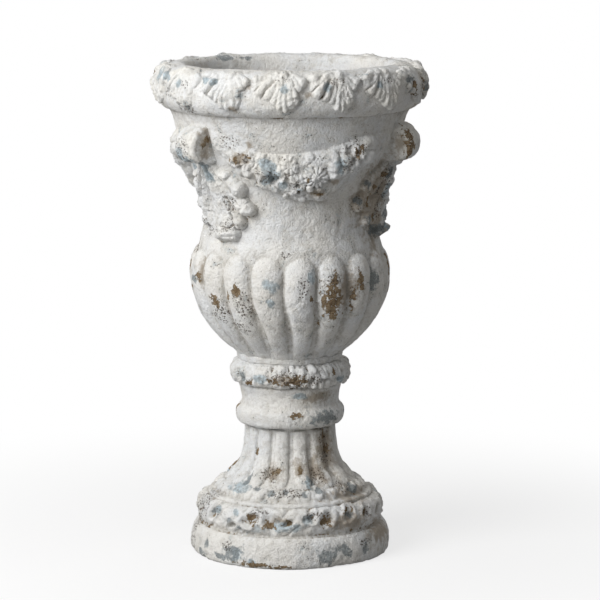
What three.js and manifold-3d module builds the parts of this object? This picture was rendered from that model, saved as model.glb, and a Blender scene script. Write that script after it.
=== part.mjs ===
// A flower pot: a gadrooned urn on a collar and a reeded pedestal, with pressed ornament.
// Millimetres, +Z up. The origin is the middle of the underside, and one garland faces -Y.
// Angles are in degrees round the vertical axis, from -Y towards +X.

import * as THREE from "three";
import { mergeVertices } from "three/addons/utils/BufferGeometryUtils.js";
import Module from "manifold-3d";

const wasm = await Module();
wasm.setup();

// Clearances
const fit = 0.3; // between pieces that touch
const registerGap = 1; // round a spigot in its socket
const past = 1; // how far a cut runs past the face that it opens

// Pedestal
const pedestalHeight = 154;
const plinthRadius = 120;
const plinthHeight = 18;
const plinthEdge = 3;
const shoulderRadius = 111;
const shoulderHeight = 34; // top of the slope above the plinth
const quirk = 2; // small step where one moulding meets the next
const bandBulge = 4; // of the leafy band above the slope
const bandTop = 66;
const bandLeafRise = 3;
const bandLeafLean = 9; // degrees from a leaf's foot to its tip
const ringRadius = 98;
const ringEdge = 4;
const ringTop = 77;
const reedFootRadius = 81;
const reedFootHeight = 91;
const stemRadius = 55;
const stemStraight = 132; // height above which the stem no longer tapers
const reedCount = 15;
const reedDepth = 3.5;
const reedFade = 9; // height over which the reeds run out on the foot
const reedTurn = 4.5;
const stemBore = 36;
const footWall = 18;
const footHollow = 62; // height of the wide part of the hollow

// Collar
const collarHeight = 78;
const torusHeight = 21;
const torusRadius = 65.5;
const scotiaRadius = 58.5;
const scotiaHeight = 44; // top of the hollow moulding
const scotiaTopRadius = 65;
const cushionRadius = 72.5;
const cushionTopRadius = 62;
const cushionLeafCount = 18;
const cushionLeafRise = 1.6;
const collarBore = 28;
const registerDepth = 12;
const spigotRadius = 37; // under the bowl, in the collar's recess
const spigotLength = 10;

// Mortar
const mortarHeight = 2.6;
const upperMortarRadius = 61;
const lowerMortarRadius = 51;

// Bowl
const bowlHeight = 352.8;
const bellyRadius = 120.5;
const bellyHeight = 102; // height of the widest place above the bowl's foot
const bellyUnder = 11; // how far below the bowl's foot the belly's curve would close
const gadroonCount = 18;
const gadroonDepth = 11;
const gadroonTop = 131;
const gadroonTurn = -3;
const tipTaper = 2; // how much the core narrows under the gadroons' tips
const waistRadius = 104;
const waistHeight = 166;
const neckRadius = 137;
const coveHeight = 16;
const rollHeight = 56;
const rollRadius = 158.5;
const rollFoot = 149;
const lipRadius = 127;
const lipEdge = 6;
const wall = 12;
const floorThickness = 14;
const drainRadius = 14;

// Brackets
const ornamentCount = 3;
const bracketProud = 22; // in front of the neck's top
const bracketWidth = 34;
const bracketHeight = 49;
const bracketOverlap = 8; // how far its top stands above the neck's top
const bracketRound = 14;
const bracketEdge = 4;

// Acanthus leaves
const acanthusClear = 16.5; // above the gadroons' tips
const acanthusLean = 7.7;
const acanthusStalk = 30;
const acanthusLobe = 0.25; // a lobe's width, as a share of the leaf's length
const acanthusCurl = 13;
const acanthusRise = 8;

// Garlands
const garlandClear = 3; // from its ends to the brackets' flanks
const garlandDrop = 10; // from the neck's top to its ends
const garlandSag = 38;
const garlandFat = 22;
const garlandThin = 10;
const garlandRise = 22;
const blossomCount = 6;
const blossomRadius = 15;
const blossomPetals = 4;
const blossomStagger = 5; // up and down from the garland's middle

// Rim leaves
const rimLeafCount = 15;
const rimLeafDrop = 5; // from the top of the roll to the ribs' meeting place
const rimLeafLength = 40;
const rimLeafRise = 6;

// Facets
const turns = 36;
const boreTurns = 24;

const bowlBase = pedestalHeight + collarHeight + 2 * mortarHeight;
const collarBase = pedestalHeight + mortarHeight;
const neckTop = bowlHeight - rollHeight - coveHeight;
const bracketBottom = neckTop + bracketOverlap - bracketHeight;
const acanthusLength = bracketBottom - gadroonTop - acanthusClear;
const coreTipRadius = bellyRadius - gadroonDepth - tipTaper;
const bellyDepth = bellyHeight + bellyUnder;

const radians = THREE.MathUtils.degToRad;
const degreesOf = THREE.MathUtils.radToDeg;
const lerp = THREE.MathUtils.lerp;
const point = (radius, height) => new THREE.Vector2(radius, height);

// A quarter, half or other stretch of an ellipse, from one angle to another
function ellipse(radius, height, across, up, from, to, steps) {
  const points = [];
  for (let i = 0; i <= steps; i += 1) {
    const angle = radians(from + ((to - from) * i) / steps);
    points.push(point(radius + across * Math.cos(angle), height + up * Math.sin(angle)));
  }
  return points;
}

// The outline of a plain round column
const column = (radius, low, high) => [point(radius, low), point(radius, high)];

// A curve from one point to another, pulled towards a third
function bend(from, pull, to, steps) {
  return new THREE.QuadraticBezierCurve(from, pull, to).getPoints(steps);
}

// One closed body of a geometry, ready for joins and cuts
function body(geometry) {
  const bare = geometry.index ? geometry.toNonIndexed() : geometry.clone();
  bare.deleteAttribute("normal");
  bare.deleteAttribute("uv");
  const merged = mergeVertices(bare, 1e-3);
  const corners = merged.index.array;
  const kept = [];
  for (let i = 0; i < corners.length; i += 3) {
    const [a, b, c] = corners.slice(i, i + 3);
    if (a !== b && b !== c && c !== a) kept.push(a, b, c);
  }
  const vertProperties = Float32Array.from(merged.attributes.position.array);
  if (signedVolume(vertProperties, kept) < 0) kept.reverse();
  const triVerts = Uint32Array.from(kept);
  return new wasm.Manifold(new wasm.Mesh({ numProp: 3, vertProperties, triVerts }));
}

function signedVolume(places, corners) {
  const corner = (i) => new THREE.Vector3().fromArray(places, 3 * corners[i]);
  let total = 0;
  for (let i = 0; i < corners.length; i += 3) {
    total += corner(i).dot(corner(i + 1).cross(corner(i + 2)));
  }
  return total;
}

// An outline of radius and height turned about the vertical axis, closed on the axis
function turned(outline, segments) {
  const closed = [point(0, outline[0].y), ...outline, point(0, outline.at(-1).y)];
  return body(new THREE.LatheGeometry(closed, segments).rotateX(Math.PI / 2));
}

// A skin over a row of sections that have equally many points, with flat ends
function lofted(sections) {
  const around = sections[0].length;
  const places = sections.flat().flatMap((p) => [p.x, p.y, p.z]);
  const faces = [];
  for (let row = 0; row < sections.length - 1; row += 1) {
    for (let i = 0; i < around; i += 1) {
      const a = row * around + i;
      const b = row * around + ((i + 1) % around);
      faces.push(a, b, a + around, b, b + around, a + around);
    }
  }
  const last = (sections.length - 1) * around;
  for (let i = 1; i < around - 1; i += 1) {
    faces.push(0, i + 1, i, last, last + i, last + i + 1);
  }
  const geometry = new THREE.BufferGeometry();
  geometry.setAttribute("position", new THREE.Float32BufferAttribute(places, 3));
  geometry.setIndex(faces);
  return body(geometry);
}

// A turned outline with equal ribs, whose columns run from groove to groove and may lean
function ribbed(outline, { count, turn = 0, columns, rise, lean = () => 0 }) {
  const sections = outline.map(({ x: radius, y: height }) => {
    const ring = [];
    for (let rib = 0; rib < count; rib += 1) {
      for (const across of columns) {
        const angle = radians(turn + lean(height) + (360 / count) * (rib + across / 2));
        const reach = radius + rise(height, across);
        ring.push(new THREE.Vector3(reach * Math.sin(angle), -reach * Math.cos(angle), height));
      }
    }
    return ring;
  });
  return lofted(sections);
}

function joined(bodies) {
  return bodies.reduce((whole, next) => whole.add(next));
}

// A turned outline as a surface that ornament is laid on
function surfaceOf(outline) {
  const runs = [0];
  for (let i = 1; i < outline.length; i += 1) {
    runs.push(runs[i - 1] + outline[i].distanceTo(outline[i - 1]));
  }
  const at = (run) => {
    let i = 1;
    while (i < outline.length - 1 && runs[i] < run) i += 1;
    const along = outline[i].clone().sub(outline[i - 1]).normalize();
    const place = outline[i - 1].clone().addScaledVector(along, run - runs[i - 1]);
    return { radius: place.x, height: place.y, out: point(along.y, -along.x) };
  };
  const runAt = (height) => {
    let i = 1;
    while (i < outline.length - 1 && outline[i].y < height) i += 1;
    const share = (height - outline[i - 1].y) / (outline[i].y - outline[i - 1].y);
    return runs[i - 1] + share * (runs[i] - runs[i - 1]);
  };
  return { at, runAt };
}

// A place over a surface: degrees round it, run along it and lift off it
function over(surface, degrees, run, lift) {
  const { radius, height, out } = surface.at(run);
  const reach = radius + out.x * lift;
  const angle = radians(degrees);
  return new THREE.Vector3(reach * Math.sin(angle), -reach * Math.cos(angle), height + out.y * lift);
}

// How high a petal or rib stands along its length, from its foot at 0 to its tip at 1
const swelling = (share) => 0.55 + 0.45 * Math.sin(Math.PI * share);

// A petal laid over a surface from its foot to its tip, with a ridged back and a curled tip
function petal(surface, { foot, tip, width, rise, rows = 3, curl = 0 }) {
  const middle = surface.at((foot.run + tip.run) / 2).radius;
  const along = point(radians(tip.degrees - foot.degrees) * middle, tip.run - foot.run).normalize();
  const section = (share) => {
    const half = (width / 2) * (0.4 + 0.6 * Math.sin(Math.PI * share ** 1.4));
    const degrees = lerp(foot.degrees, tip.degrees, share);
    const run = lerp(foot.run, tip.run, share);
    const swell = rise * swelling(share);
    const place = (across, up) => {
      const sideRun = run + across * half * along.x;
      const turn = (-across * half * along.y) / surface.at(sideRun).radius;
      return over(surface, degrees + degreesOf(turn), sideRun, curl * share ** 3 + up);
    };
    return [place(-1, -0.2 * swell), place(0, swell), place(1, -0.2 * swell), place(0, -0.7 * rise)];
  };
  return lofted(Array.from({ length: rows + 1 }, (_, i) => section(i / rows)));
}

// A fan of ribs over a surface. Each rib has its turn from straight down and its length, and
// the valleys between them end sooner, so that the fan's edge is scalloped.
function fan(surface, { foot, ribs, rise, shares = [0.15, 0.6, 1] }) {
  const fringe = 10;
  const [first, last] = [ribs[0], ribs.at(-1)];
  const ends = [[first[0] - fringe, first[1]], ...ribs, [last[0] + fringe, last[1]]];
  const columns = [];
  for (let i = 1; i < ends.length; i += 1) {
    const valleyTurn = (ends[i - 1][0] + ends[i][0]) / 2;
    const valleyLength = (0.84 * (ends[i - 1][1] + ends[i][1])) / 2;
    columns.push({ turn: valleyTurn, length: valleyLength, high: 0.42 });
    columns.push({ turn: ends[i][0], length: ends[i][1], high: 1 });
  }
  columns.pop();
  const place = (turn, far, lift) => {
    const run = foot.run - far * Math.cos(radians(turn));
    const around = (far * Math.sin(radians(turn))) / surface.at(run).radius;
    return over(surface, foot.degrees + degreesOf(around), run, lift);
  };
  const sections = shares.map((share) => {
    const top = columns.map(({ turn, length, high }) => {
      return place(turn, share * length, rise * high * swelling(share));
    });
    return [place(0, (share * first[1]) / 2, -rise), ...top];
  });
  return lofted(sections);
}

// Pedestal: a moulded foot and a reeded stem, hollow underneath

function footOutline() {
  return [
    point(plinthRadius - plinthEdge, 0),
    point(plinthRadius, plinthEdge),
    point(plinthRadius, plinthHeight),
    point(plinthRadius - plinthEdge, (plinthHeight + shoulderHeight) / 2),
    point(shoulderRadius, shoulderHeight),
    ...bend(
      point(shoulderRadius - quirk, shoulderHeight + quirk),
      point(shoulderRadius + 2 * bandBulge, (shoulderHeight + bandTop) / 2),
      point(ringRadius + quirk, bandTop),
      5
    ),
    point(ringRadius, ringTop - ringEdge),
    point(ringRadius - ringEdge, ringTop),
  ];
}

function stemOutline() {
  const pull = point(stemRadius, lerp(reedFootHeight, stemStraight, 0.35));
  const flare = bend(point(reedFootRadius, reedFootHeight), pull, point(stemRadius, stemStraight), 5);
  return [...flare, point(stemRadius, pedestalHeight)];
}

// The reeds are round between sharp grooves, and they run out on the foot. Below them the band
// carries slanting leaves, two to a reed.
const reedsAndLeaves = {
  count: reedCount,
  turn: reedTurn,
  columns: [-1, -0.5, 0, 0.5],
  rise: (height, across) => {
    const crest = Math.abs(across) === 0.5 ? bandLeafRise : -bandLeafRise;
    if (height < reedFootHeight) return crest * Math.sin(Math.PI * bandShare(height));
    const depth = reedDepth * Math.min(1, (height - reedFootHeight) / reedFade + 1 / 3);
    return depth * (Math.sqrt(1 - across * across) - 1);
  },
  lean: (height) => {
    const share = bandShare(height);
    return share > 0 && share < 1 ? bandLeafLean * (share - 0.5) : 0;
  },
};

// How far up the band a height is, from 0 at its foot to 1 at its top
function bandShare(height) {
  return THREE.MathUtils.clamp((height - shoulderHeight) / (bandTop - shoulderHeight), 0, 1);
}

function footHollowOutline() {
  return [
    point(plinthRadius - footWall, -past),
    point(plinthRadius - footWall, plinthHeight),
    point(shoulderRadius - footWall, shoulderHeight),
    ...bend(
      point(ringRadius - 0.7 * footWall, footHollow - footWall / 2),
      point(stemBore + footWall / 3, footHollow + footWall / 2),
      point(stemBore, reedFootHeight + reedFade),
      3
    ),
    point(stemBore, pedestalHeight + past),
  ];
}

function pedestal() {
  const outside = ribbed([...footOutline(), ...stemOutline()], reedsAndLeaves);
  return outside.subtract(turned(footHollowOutline(), boreTurns));
}

// Collar: ring, hollow moulding and leafy cushion, with a spigot that stands in the stem

function collarOutline() {
  const half = torusHeight / 2;
  const cushionHalf = (collarHeight - scotiaHeight) / 2;
  const step = quirk / 2;
  return [
    point(torusRadius - half, 0),
    ...ellipse(torusRadius - half, half, half, half, -60, 80, 4),
    ...bend(
      point(scotiaRadius + step, torusHeight + step),
      point(scotiaRadius - step, (torusHeight + scotiaHeight) / 2),
      point(scotiaTopRadius, scotiaHeight),
      3
    ),
    ...bend(
      point(scotiaTopRadius + step, scotiaHeight + step),
      point(2 * cushionRadius - (scotiaTopRadius + cushionTopRadius) / 2, scotiaHeight + 1.35 * cushionHalf),
      point(cushionTopRadius, collarHeight),
      5
    ),
  ];
}

// Broad leaves wrap the cushion from top to bottom
const cushionLeaves = {
  count: cushionLeafCount,
  columns: [-1, 0],
  rise: (height, across) => {
    const share = (height - scotiaHeight) / (collarHeight - scotiaHeight);
    if (share <= 0) return 0;
    return cushionLeafRise * Math.sin(Math.PI * share) * (across ? -1 : 1);
  },
};

function collar() {
  const spigot = stemBore - registerGap;
  const shank = turned(column(spigot, -registerDepth, torusHeight / 2), boreTurns);
  const bore = turned(column(collarBore, -registerDepth - past, collarHeight), boreTurns);
  const recess = spigotRadius + registerGap;
  const socket = turned(column(recess, collarHeight - registerDepth, collarHeight + past), boreTurns);
  return ribbed(collarOutline(), cushionLeaves).add(shank).subtract(bore).subtract(socket);
}

// A mortar bed is a washer with its outer edge squeezed round
function mortarBed(bore, radius) {
  const height = mortarHeight - 2 * fit;
  const round = height / 2;
  const outside = turned(ellipse(radius - round, round, round, round, -90, 90, 2), boreTurns);
  return outside.subtract(turned(column(bore, -past, height + past), boreTurns));
}

// Bowl: belly, waist, neck, cove and rim roll, from the foot up

function bellyOutline() {
  const radius = bellyRadius - gadroonDepth;
  const depth = bellyDepth - gadroonDepth;
  const lowest = -degreesOf(Math.asin(bellyHeight / bellyDepth));
  const curve = ellipse(0, bellyHeight, radius, depth, lowest, 0, 6);
  return curve.map(({ x, y }, i) => point(x, i && y));
}

function fingertipOutline() {
  const rise = gadroonTop - bellyHeight;
  return [0.45, 0.75, 0.94, 1].map((share) => {
    return point(bellyRadius - gadroonDepth - tipTaper * share, bellyHeight + rise * share);
  });
}

function neckOutline() {
  return [
    point(waistRadius + tipTaper / 2, (gadroonTop + waistHeight) / 2),
    ...bend(
      point(waistRadius, waistHeight),
      point(waistRadius, lerp(waistHeight, neckTop, 0.26)),
      point(neckRadius, neckTop),
      4
    ),
  ];
}

function coveOutline() {
  const height = neckTop + 0.6 * coveHeight;
  return [point(neckRadius + quirk, height), point(rollFoot, neckTop + coveHeight)];
}

function rollOutline() {
  const middle = bowlHeight - rollHeight / 2;
  const centre = (rollRadius + lipRadius) / 2 - lipEdge / 3;
  return ellipse(centre, middle, rollRadius - centre, rollHeight / 2, -66, 90, 6);
}

// Gadroons are round ribs between sharp grooves, which end like fingertips at the waist
const gadroons = {
  count: gadroonCount,
  turn: gadroonTurn,
  columns: [-1, -0.6, 0, 0.6],
  rise: (height, across) => {
    const above = Math.max(0, (height - bellyHeight) / (gadroonTop - bellyHeight));
    const below = Math.max(0, (bellyHeight - height) / bellyDepth);
    const tip = Math.sqrt(Math.max(0, 1 - above * above));
    if (tip <= Math.abs(across)) return 0;
    return gadroonDepth * tip * Math.sqrt(1 - below * below) * Math.sqrt(1 - (across / tip) ** 2);
  },
};

const upperFoot = point(coreTipRadius, gadroonTop - tipTaper);
const upperOutline = [upperFoot, ...neckOutline(), ...coveOutline(), ...rollOutline()];
const neck = surfaceOf([...neckOutline(), ...coveOutline()]);
const roll = surfaceOf(rollOutline());

// Every laid-on piece is cut by a seat, which stands round the neck and rim with a clearance
function seatOutline() {
  return upperOutline.map((place, i) => {
    const before = upperOutline[Math.max(i - 1, 0)];
    const after = upperOutline[Math.min(i + 1, upperOutline.length - 1)];
    const along = after.clone().sub(before).normalize();
    return point(place.x + (along.y * fit) / Math.cos(Math.PI / turns), place.y - along.x * fit);
  });
}

const seat = turned(seatOutline(), turns);

function hollowOutline() {
  const radius = bellyRadius - gadroonDepth - wall;
  const lowest = -78;
  const depth = (floorThickness - bellyHeight) / Math.sin(radians(lowest));
  return [
    ...ellipse(0, bellyHeight, radius, depth, lowest, 0, 4),
    point(radius - tipTaper / 2, gadroonTop - tipTaper),
    ...bend(
      point(waistRadius - wall, waistHeight),
      point(waistRadius - wall, lerp(waistHeight, neckTop, 0.28)),
      point(neckRadius - wall - quirk, neckTop),
      3
    ),
    point(lipRadius - lipEdge, bowlHeight - 3 * lipEdge),
    point(lipRadius - lipEdge / 2, bowlHeight - lipEdge),
    point(lipRadius + lipEdge / 3, bowlHeight - past),
    point(lipRadius + 2 * lipEdge, bowlHeight + past),
  ];
}

function bowl() {
  const belly = ribbed([...bellyOutline(), ...fingertipOutline()], gadroons);
  const upper = turned(upperOutline, turns);
  const spigot = turned(column(spigotRadius, -spigotLength, floorThickness / 2), boreTurns);
  const drain = turned(column(drainRadius, -spigotLength - past, 2 * floorThickness), boreTurns);
  return belly.add(upper).add(spigot).subtract(turned(hollowOutline(), boreTurns)).subtract(drain);
}

// A scroll bracket is a block with a full round front, a flat underside and flat flanks
function bracket(degrees) {
  const front = new THREE.Shape();
  const back = waistRadius;
  const bottom = bracketEdge;
  const top = bracketHeight - bracketEdge;
  const reach = neckRadius + bracketProud - bracketEdge;
  const round = bracketRound;
  front.moveTo(back, bottom);
  front.lineTo(reach - round, bottom);
  front.bezierCurveTo(
    reach + 0.3 * round,
    bottom + 0.15 * round,
    reach + 0.2 * round,
    0.75 * top,
    reach - 0.7 * round,
    top - 0.2 * round
  );
  front.quadraticCurveTo(reach - 1.15 * round, top, back, top);
  const depth = bracketWidth - 2 * bracketEdge;
  const block = new THREE.ExtrudeGeometry(front, {
    depth,
    curveSegments: 6,
    bevelThickness: bracketEdge,
    bevelSize: bracketEdge,
    bevelSegments: 1,
  });
  block.translate(0, 0, -depth / 2).rotateX(Math.PI / 2);
  block.rotateZ(radians(degrees - 90)).translate(0, 0, bracketBottom);
  return body(block).subtract(seat);
}

// An acanthus leaf hangs from its bracket: a stalk with a curled tip and three pairs of lobes.
// A lobe's foot and tip are shares of the leaf's length, and its tip also turns to the side.
const acanthusLobes = [
  { foot: 0.07, tip: 0.24, side: 24, curl: 0 },
  { foot: 0.28, tip: 0.55, side: 28, curl: 0.25 },
  { foot: 0.54, tip: 0.84, side: 17, curl: 0.3 },
];

function acanthus(degrees) {
  const top = bracketBottom - fit;
  const spot = (share, side) => ({
    degrees: degrees + acanthusLean * share ** 1.5 + side,
    run: neck.runAt(top - share * acanthusLength),
  });
  const stalk = { foot: spot(0.02, 0), tip: spot(1, 0), width: acanthusStalk, rise: 1.25 * acanthusRise };
  const petals = [petal(neck, { ...stalk, rows: 4, curl: acanthusCurl })];
  for (const { foot, tip, side, curl } of acanthusLobes) {
    for (const way of [-1, 1]) {
      const width = acanthusLobe * acanthusLength;
      const lobe = { foot: spot(foot, way), tip: spot(tip, way * side), width };
      petals.push(petal(neck, { ...lobe, rise: acanthusRise, curl: curl * acanthusCurl }));
    }
  }
  return joined(petals).subtract(seat);
}

// A blossom of round petals about a sunken heart, which faces out along the neck's surface
function blossom(degrees, height, lift, radius) {
  const rows = [
    [0.8, -0.8, 0],
    [1, 0.1, 0.14],
    [0.35, 0.5, 0],
  ];
  const columns = 2 * blossomPetals;
  const centre = over(neck, degrees, neck.runAt(height), lift);
  const out = over(neck, degrees, neck.runAt(height), lift + 1).sub(centre);
  const side = new THREE.Vector3(Math.cos(radians(degrees)), Math.sin(radians(degrees)), 0);
  const up = out.clone().cross(side);
  const sections = rows.map(([reach, rise, lobe]) => {
    const ring = [];
    for (let i = 0; i < columns; i += 1) {
      const angle = (2 * Math.PI * i) / columns;
      const far = radius * reach * (i % 2 ? 1 - lobe : 1 + lobe);
      const place = centre.clone().addScaledVector(out, radius * rise);
      place.addScaledVector(side, far * Math.cos(angle));
      ring.push(place.addScaledVector(up, far * Math.sin(angle)));
    }
    return ring;
  });
  return lofted(sections);
}

// A garland is a swag that is fat in the middle, with blossoms set alternately high and low
function garland(degrees) {
  const ends = neckTop - garlandDrop;
  const reach = 180 / ornamentCount - degreesOf((bracketWidth / 2 + garlandClear) / neckRadius);
  const level = (share) => ends - garlandSag * (1 - share * share);
  const fatness = (share) => lerp(garlandThin, garlandFat, Math.cos((share * Math.PI) / 2) ** 2);
  const steps = 8;
  const sections = [];
  for (let i = 0; i <= steps; i += 1) {
    const share = (2 * i) / steps - 1;
    const half = fatness(share);
    const rise = garlandRise * ((half + garlandThin) / (garlandFat + garlandThin) - 0.18);
    const ring = [];
    for (let j = 0; j < 6; j += 1) {
      const angle = (Math.PI * j) / 3;
      const run = neck.runAt(level(share) + half * 0.9 * Math.cos(angle));
      ring.push(over(neck, degrees + share * reach, run, rise * (0.1 + Math.sin(angle))));
    }
    sections.push(ring);
  }
  const blossoms = [];
  for (let i = 0; i < blossomCount; i += 1) {
    const share = ((2 * i + 1) / blossomCount - 1) * 0.9;
    const radius = blossomRadius * (0.62 + 0.38 * Math.cos((share * Math.PI) / 2));
    const height = level(share) + (i % 2 ? blossomStagger : -blossomStagger);
    const lift = (garlandRise * fatness(share)) / garlandFat - radius * 0.5;
    blossoms.push(blossom(degrees + share * reach, height, lift, radius));
  }
  return joined([lofted(sections), ...blossoms]).subtract(seat);
}

// A rim leaf is a palmette that hangs over the roll, broader on its left than on its right.
// Each rib has its turn from straight down, in degrees, and its share of the leaf's length.
const rimLeafRibs = [
  [-68, 0.94],
  [-42, 0.9],
  [-16, 0.92],
  [5, 1],
  [28, 0.86],
  [62, 0.66],
];

function rimLeaf(degrees) {
  const foot = { degrees, run: roll.runAt(bowlHeight - rimLeafDrop) };
  const ribs = rimLeafRibs.map(([turn, share]) => [turn, share * rimLeafLength]);
  return fan(roll, { foot, ribs, rise: rimLeafRise }).subtract(seat);
}

// The scene: each piece in its own colour of worn chalky paint

function finish(colour, roughness = 0.95) {
  return new THREE.MeshStandardMaterial({ color: colour, roughness, metalness: 0 });
}

function piece(name, solid, material) {
  const { numProp, vertProperties, triVerts } = solid.getMesh();
  const geometry = new THREE.BufferGeometry();
  geometry.setAttribute("position", new THREE.BufferAttribute(vertProperties, numProp));
  geometry.setIndex(new THREE.BufferAttribute(triVerts, 1));
  const mesh = new THREE.Mesh(geometry, material);
  mesh.name = name;
  return mesh;
}

const chalk = finish(0xd9d5cd);
const warmChalk = finish(0xd6cdc4);
const mortar = finish(0xe4e1da, 1);

const urn = new THREE.Group();
const foot = piece("pedestal", pedestal(), warmChalk);
const lowerBed = piece("lower_mortar", mortarBed(stemBore + registerGap, lowerMortarRadius), mortar);
const knop = piece("collar", collar(), warmChalk);
const upperBed = piece("upper_mortar", mortarBed(spigotRadius + 2 * registerGap, upperMortarRadius), mortar);
lowerBed.position.z = pedestalHeight + fit;
knop.position.z = collarBase;
upperBed.position.z = bowlBase - mortarHeight + fit;
urn.add(foot, lowerBed, knop, upperBed);

const vessel = new THREE.Group();
vessel.position.z = bowlBase;
vessel.add(piece("bowl", bowl(), chalk));
for (let i = 0; i < ornamentCount; i += 1) {
  const pitch = 360 / ornamentCount;
  const between = pitch / 2 + pitch * i;
  vessel.add(piece(`scroll_bracket_${i + 1}`, bracket(between), chalk));
  vessel.add(piece(`acanthus_leaf_${i + 1}`, acanthus(between), chalk));
  vessel.add(piece(`garland_${i + 1}`, garland(pitch * i), chalk));
}
for (let i = 0; i < rimLeafCount; i += 1) {
  const name = `rim_leaf_${String(i + 1).padStart(2, "0")}`;
  vessel.add(piece(name, rimLeaf((360 / rimLeafCount) * (i + 0.5)), chalk));
}
urn.add(vessel);

export default urn;
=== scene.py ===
import itertools
import math

import bpy
import numpy as np
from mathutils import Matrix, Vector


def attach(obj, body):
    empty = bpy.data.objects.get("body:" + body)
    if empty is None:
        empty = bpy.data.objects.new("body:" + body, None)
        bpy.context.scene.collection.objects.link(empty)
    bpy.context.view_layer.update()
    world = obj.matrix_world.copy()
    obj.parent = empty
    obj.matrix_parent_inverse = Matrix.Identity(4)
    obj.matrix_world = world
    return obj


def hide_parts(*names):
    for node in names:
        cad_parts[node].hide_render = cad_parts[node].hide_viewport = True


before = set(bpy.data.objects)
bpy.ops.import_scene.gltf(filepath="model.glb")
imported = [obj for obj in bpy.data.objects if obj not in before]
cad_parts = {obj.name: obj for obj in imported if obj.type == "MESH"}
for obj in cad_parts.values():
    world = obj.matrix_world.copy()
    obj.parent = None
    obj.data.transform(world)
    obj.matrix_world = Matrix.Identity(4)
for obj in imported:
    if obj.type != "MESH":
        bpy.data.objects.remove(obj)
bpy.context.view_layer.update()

# A worn white urn planter on a pedestal. Lengths are in millimetres until a mesh is made.
# Angles are in degrees round the urn's axis, from -Y towards +X. One garland faces -Y.

MM = 0.001


# Noise


def lattice(ix, iy, iz, seed):
    """A fixed random number from 0 to 1 for each whole place."""
    mixed = ix * 374761393 + iy * 668265263 + iz * 1440662683 + seed * 974634777
    mixed = (mixed ^ (mixed >> 13)) & 0xFFFFFFFF
    mixed = (mixed * 1274126177) & 0xFFFFFFFF
    return ((mixed ^ (mixed >> 16)) & 0xFFFFFF) / 0xFFFFFF


def noise(places, size, seed=0):
    """Smooth noise from -1 to 1, with lumps of about the given size."""
    scaled = places / size
    whole = np.floor(scaled).astype(np.int64)
    part = scaled - whole
    part = part * part * part * (part * (part * 6 - 15) + 10)
    total = 0
    for corner in itertools.product((0, 1), repeat=3):
        x, y, z = (part[..., k] if corner[k] else 1 - part[..., k] for k in range(3))
        total = total + x * y * z * lattice(*(whole[..., k] + corner[k] for k in range(3)), seed)
    return total * 2 - 1


def rough(places, size, octaves, seed=0):
    """Noise on noise, each layer half the size and half the height of the one before."""
    total, height = 0, 1.0
    for layer in range(octaves):
        total = total + height * noise(places, size / 2**layer, seed + 11 * layer)
        height *= 0.5
    return total


def ease(value, low, high):
    """0 at low, 1 at high, and smooth between them."""
    share = np.clip((value - low) / (high - low), 0, 1)
    return share * share * (3 - 2 * share)


def bell(value, width, power=2):
    """1 where the value is 0, and nearly 0 beyond the width."""
    return np.exp(-((value / width) ** power))


def nearest(degrees, pitch, first=0):
    """The number of the nearest of evenly spaced places, and how many degrees past it this is."""
    number = np.round((degrees - first) / pitch)
    return number.astype(np.int64), degrees - first - number * pitch


# Outlines


def through(anchors, step):
    """Points about a step apart on a smooth curve through the anchors."""
    anchors = np.array(anchors, float)
    fine = anchors
    if len(anchors) > 2:
        ends = [2 * anchors[0] - anchors[1], *anchors, 2 * anchors[-1] - anchors[-2]]
        fine = []
        for a, b, c, d in zip(ends, ends[1:], ends[2:], ends[3:]):
            for t in np.linspace(0, 1, 24, endpoint=False):
                bend = (2 * a - 5 * b + 4 * c - d) * t**2 + (3 * b - a - 3 * c + d) * t**3
                fine.append(0.5 * (2 * b + (c - a) * t + bend))
        fine = np.array([*fine, anchors[-1]])
    runs = np.concatenate([[0], np.cumsum(np.linalg.norm(np.diff(fine, axis=0), axis=1))])
    at = np.linspace(0, runs[-1], max(1, round(runs[-1] / step)) + 1)
    return np.stack([np.interp(at, runs, fine[:, 0]), np.interp(at, runs, fine[:, 1])], 1)


def outline(strokes):
    """Radius and height along strokes that meet at corners, and close. Each is (anchors, step)."""
    return np.concatenate([through(anchors, step)[:-1] for anchors, step in strokes])


def legs(corners, *steps):
    """Straight strokes from corner to corner, each with its step."""
    return [([a, b], step) for a, b, step in zip(corners, corners[1:], steps)]


class Wall:
    """A turned wall that ornaments sit on, from its outline's anchors, bottom first."""

    def __init__(self, anchors):
        self.line = through(anchors, 0.5)
        steps = np.linalg.norm(np.diff(self.line, axis=0), axis=1)
        self.runs = np.concatenate([[0], np.cumsum(steps)])
        self.ways = np.gradient(self.line, axis=0)
        self.ways /= np.linalg.norm(self.ways, axis=1, keepdims=True)

    def run_at(self, height):
        return np.interp(height, self.line[:, 1], self.runs)

    def radius_at(self, run):
        return np.interp(run, self.runs, self.line[:, 0])

    def height_at(self, run):
        return np.interp(run, self.runs, self.line[:, 1])

    def frame(self, degrees, run):
        """The wall's place, its outward way, its way round and its way up."""
        wide, high = (np.interp(run, self.runs, self.ways[:, k]) for k in (0, 1))
        base = place(self.radius_at(run), degrees, self.height_at(run))
        out = place(high, degrees, -wide)
        return base, out, place(1, degrees + 90, 0), place(wide, degrees, high)


# Meshes


def place(radius, degrees, height):
    angle = np.radians(degrees)
    return np.stack([radius * np.sin(angle), -radius * np.cos(angle), height + 0 * angle], -1)


def change(grid, axis, wraps):
    if wraps:
        return np.roll(grid, -1, axis) - np.roll(grid, 1, axis)
    return np.gradient(grid, axis=axis)


def normals(grid, wraps):
    """Outward unit normals of a grid of points. Wraps says whether its rows and columns close."""
    across = np.cross(change(grid, 1, wraps[1]), change(grid, 0, wraps[0]))
    return across / np.maximum(np.linalg.norm(across, axis=-1, keepdims=True), 1e-9)


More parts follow.
